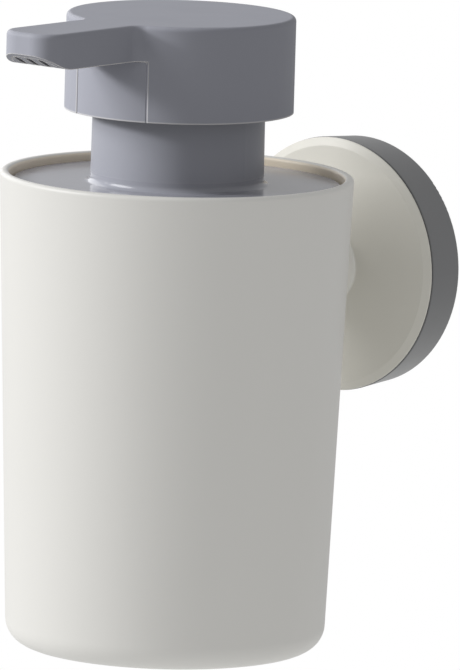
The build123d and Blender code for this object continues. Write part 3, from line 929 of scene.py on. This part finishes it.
# %% [markdown]
# ## What the blow mould leaves on the bottle
# A bottle is blown in a mould of two halves. Where they meet, a fine ridge runs up both sides and the pinched
# tube leaves a raised bar across the base. The ridge follows the bottle's own outline, so it is a curve with
# a tiny round section swept along it, and a copy of it is turned half way round. The neck carries a screw
# thread: the same sweep along a helix, thinned at both ends so that it runs out as a real thread does.

# %% Bottle sizes
bottle_low, bottle_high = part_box("bottle")
bottle_radius = bottle_high.x
neck_radius = 0.0137
shoulder_gap = 0.0004
shoulder_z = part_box("lid")[0].z - shoulder_gap
shoulder_round = 0.0060
bottle_floor = Matrix.Translation((cup_axis.x, cup_axis.y, bottle_low.z))
bottle_height = bottle_high.z - bottle_low.z
print("bottle is", round(bottle_height, 4), "m high and", round(2 * bottle_radius, 4), "m across")

# %% Parting ridge and base bar
ridge_shape = Shaper(
    "ridge_shape", radius=bottle_radius, neck_radius=neck_radius,
    side_height=shoulder_z - shoulder_round - bottle_low.z, shoulder_height=shoulder_z - bottle_low.z,
    base_round=0.0050, shoulder_round=shoulder_round, ridge_radius=0.00018, bar_length=0.0340,
    bar_radius=0.00030, bar_rise=0.0002, neck_clearance=0.0010)
radius, neck, side, shoulder, base_round, shoulder_turn = (ridge_shape.size(key) for key in (
    "radius", "neck_radius", "side_height", "shoulder_height", "base_round", "shoulder_round"))
under_base = 1.6
ridge_line = ridge_shape.outline([
    (radius - base_round * under_base, 0.0, 0.0), (radius, 0.0, base_round), (radius, side, shoulder_turn),
    (neck + ridge_shape.size("neck_clearance"), shoulder, 0.0)], steps=10)
ridge = ridge_shape.swept(ridge_line, ridge_shape.bead(ridge_shape.size("ridge_radius"), facets=8))
half_turn = ridge_shape.node("GeometryNodeTransform", None, {"Geometry": ridge, "Rotation": (0, 0, math.pi)})
bar_half = ridge_shape.size("bar_length") / 2
bar_rise = ridge_shape.size("bar_rise")
bar_line = ridge_shape.node("GeometryNodeCurvePrimitiveLine", {"mode": "POINTS"}, {
    "Start": ridge_shape.point(0.0 - bar_half, 0.0, bar_rise),
    "End": ridge_shape.point(bar_half, 0.0, bar_rise)})
bar = ridge_shape.swept(bar_line, ridge_shape.bead(ridge_shape.size("bar_radius"), facets=8))
ridge_shape.made("bottle_seams", ridge_shape.joined([ridge, half_turn, bar]), natural_bottle, bottle_floor,
                 "bottle", "natural_bottle")

# %% Neck thread
thread_shape = Shaper("thread_shape", radius=neck_radius, turns=1.5, pitch=0.0042, ridge_radius=0.00065,
                      sink=0.00040, steps=144)
turns, steps = thread_shape.size("turns"), thread_shape.size("steps")
thread_radius = thread_shape.size("radius") - thread_shape.size("sink")
thread_line = thread_shape.node("GeometryNodeCurveSpiral", None, {
    "Resolution": steps / turns, "Rotations": turns, "Start Radius": thread_radius,
    "End Radius": thread_radius, "Height": turns * thread_shape.size("pitch")})
along = thread_shape.node("GeometryNodeSplineParameter", None, None, "Factor")
thinning, tip_swell = 12, 0.1
run_out = thread_shape.math("MINIMUM", along, 1 - along) * thinning
swell = thread_shape.math("MINIMUM", run_out + tip_swell, 1.0)
thread_bead = thread_shape.bead(thread_shape.size("ridge_radius"), facets=10)
thread = thread_shape.swept(thread_line, thread_bead, swell)
foot_below_mouth = 0.0075
thread_foot = Matrix.Translation((cup_axis.x, cup_axis.y, bottle_high.z - foot_below_mouth))
thread_shape.made("neck_thread", thread, natural_bottle, thread_foot, "bottle", "natural_bottle")

# %% [markdown]
# ## Tongues in the head's seams
# The panel under the spout is a second moulding that snaps into the head's skirt. Behind each seam the panel
# has a tongue, so the seam reads as a shallow groove rather than a slit into the dark. One flat strip is made
# and turned to both seams. Its grey is painted lighter than the head's, a painted highlight along each seam.

# %% Seam tongues
tongue_shape = Shaper("tongue_shape", radius=0.02432, depth=0.0004, width=0.0008,
                      height=spout_underside_z - head_low.z, seam_angle=seam_angle, gap_shift=0.0001)
radius, depth, width, height = (tongue_shape.size(key) for key in ("radius", "depth", "width", "height"))
middle_angle = tongue_shape.size("seam_angle") - tongue_shape.size("gap_shift") / radius
strip = tongue_shape.node("GeometryNodeMeshCube", None, {
    "Size": tongue_shape.point(depth, width, height), "Vertices X": 2, "Vertices Y": 5, "Vertices Z": 2})
set_out = tongue_shape.node("GeometryNodeTransform", None, {
    "Geometry": strip, "Translation": tongue_shape.point(radius - depth / 2, 0.0, height / 2)})
tongues = [
    tongue_shape.node("GeometryNodeTransform", None, {
        "Geometry": set_out, "Rotation": tongue_shape.point(0.0, 0.0, middle_angle * side - math.pi / 2)})
    for side in (-1, 1)]
head_place = Matrix.Translation((cup_axis.x, cup_axis.y, head_low.z))
tongue_shape.made("seam_tongues", tongue_shape.joined(tongues), tongue_painted_light, head_place, "head", "grey_head")

# %% [markdown]
# ## The return spring
# The spring under the plunger is a helix whose pitch is tight at both ends and widest in the middle, so that
# it stands square on the cage below. A line of points is bent into that helix by a rule for its angle and
# its height, and a round wire is swept along it. The piece rides with the pump, and the share of its length
# that it keeps at full stroke is worked out and printed.

# %% Return spring
spring_low, spring_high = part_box("spring")
spring_length = spring_high.z - spring_low.z
press_stroke = next(joint for joint in frame["joints"] if joint["name"] == "head_press")["range_m"][1]
wire_radius = 0.0004
spring_shape = Shaper("spring_shape", coil_radius=spring_high.x - wire_radius, wire_radius=wire_radius,
                      turns=8, height=spring_length - 2 * wire_radius, closing=0.80, points=385)
coil, turns, height, points = (spring_shape.size(key) for key in ("coil_radius", "turns", "height", "points"))
wire_line = spring_shape.node("GeometryNodeMeshLine", {"mode": "OFFSET"}, {"Count": points})
share = spring_shape.node("GeometryNodeInputIndex") / (points - 1)
angle = share * turns * math.tau
closed = share - spring_shape.math("SINE", share * math.tau) * spring_shape.size("closing") / math.tau
helix = spring_shape.point(coil * spring_shape.math("COSINE", angle), coil * spring_shape.math("SINE", angle),
                           closed * height)
bent = spring_shape.node("GeometryNodeSetPosition", None, {"Geometry": wire_line, "Position": helix})
wire_curve = spring_shape.node("GeometryNodeMeshToCurve", None, {0: bent})
wire = spring_shape.swept(wire_curve, spring_shape.bead(spring_shape.size("wire_radius"), facets=12))
spring_foot = Matrix.Translation((cup_axis.x, cup_axis.y, spring_low.z + wire_radius))
return_spring = spring_shape.made("return_spring", wire, steel_spring, spring_foot, "pump", "steel_spring")
share_kept = 1 - press_stroke / spring_length
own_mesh(return_spring)
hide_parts("spring")
print("spring keeps", round(share_kept, 3), "of its length at full stroke")

# %% [markdown]
# ## Flags for the head lamp
# A studio keeps a lamp off what it shouldn't light with black flags on stands. Blender's light linking does
# the same without anything in the way: the lamp has a collection of receivers, and each piece in it may be
# left out. The cup, the rosette, the ring and the floor are left out here, and all the rest is still lit.

# %% Flag the head lamp
flagged = bpy.data.collections.new("flagged")
for piece in (nodes["rosette"], nodes["backing_ring"], cup_shell, cup_seat, floor):
    flagged.objects.link(piece)
for entry in flagged.collection_objects:
    entry.light_linking.link_state = "EXCLUDE"
head_lamp.light_linking.receiver_collection = flagged
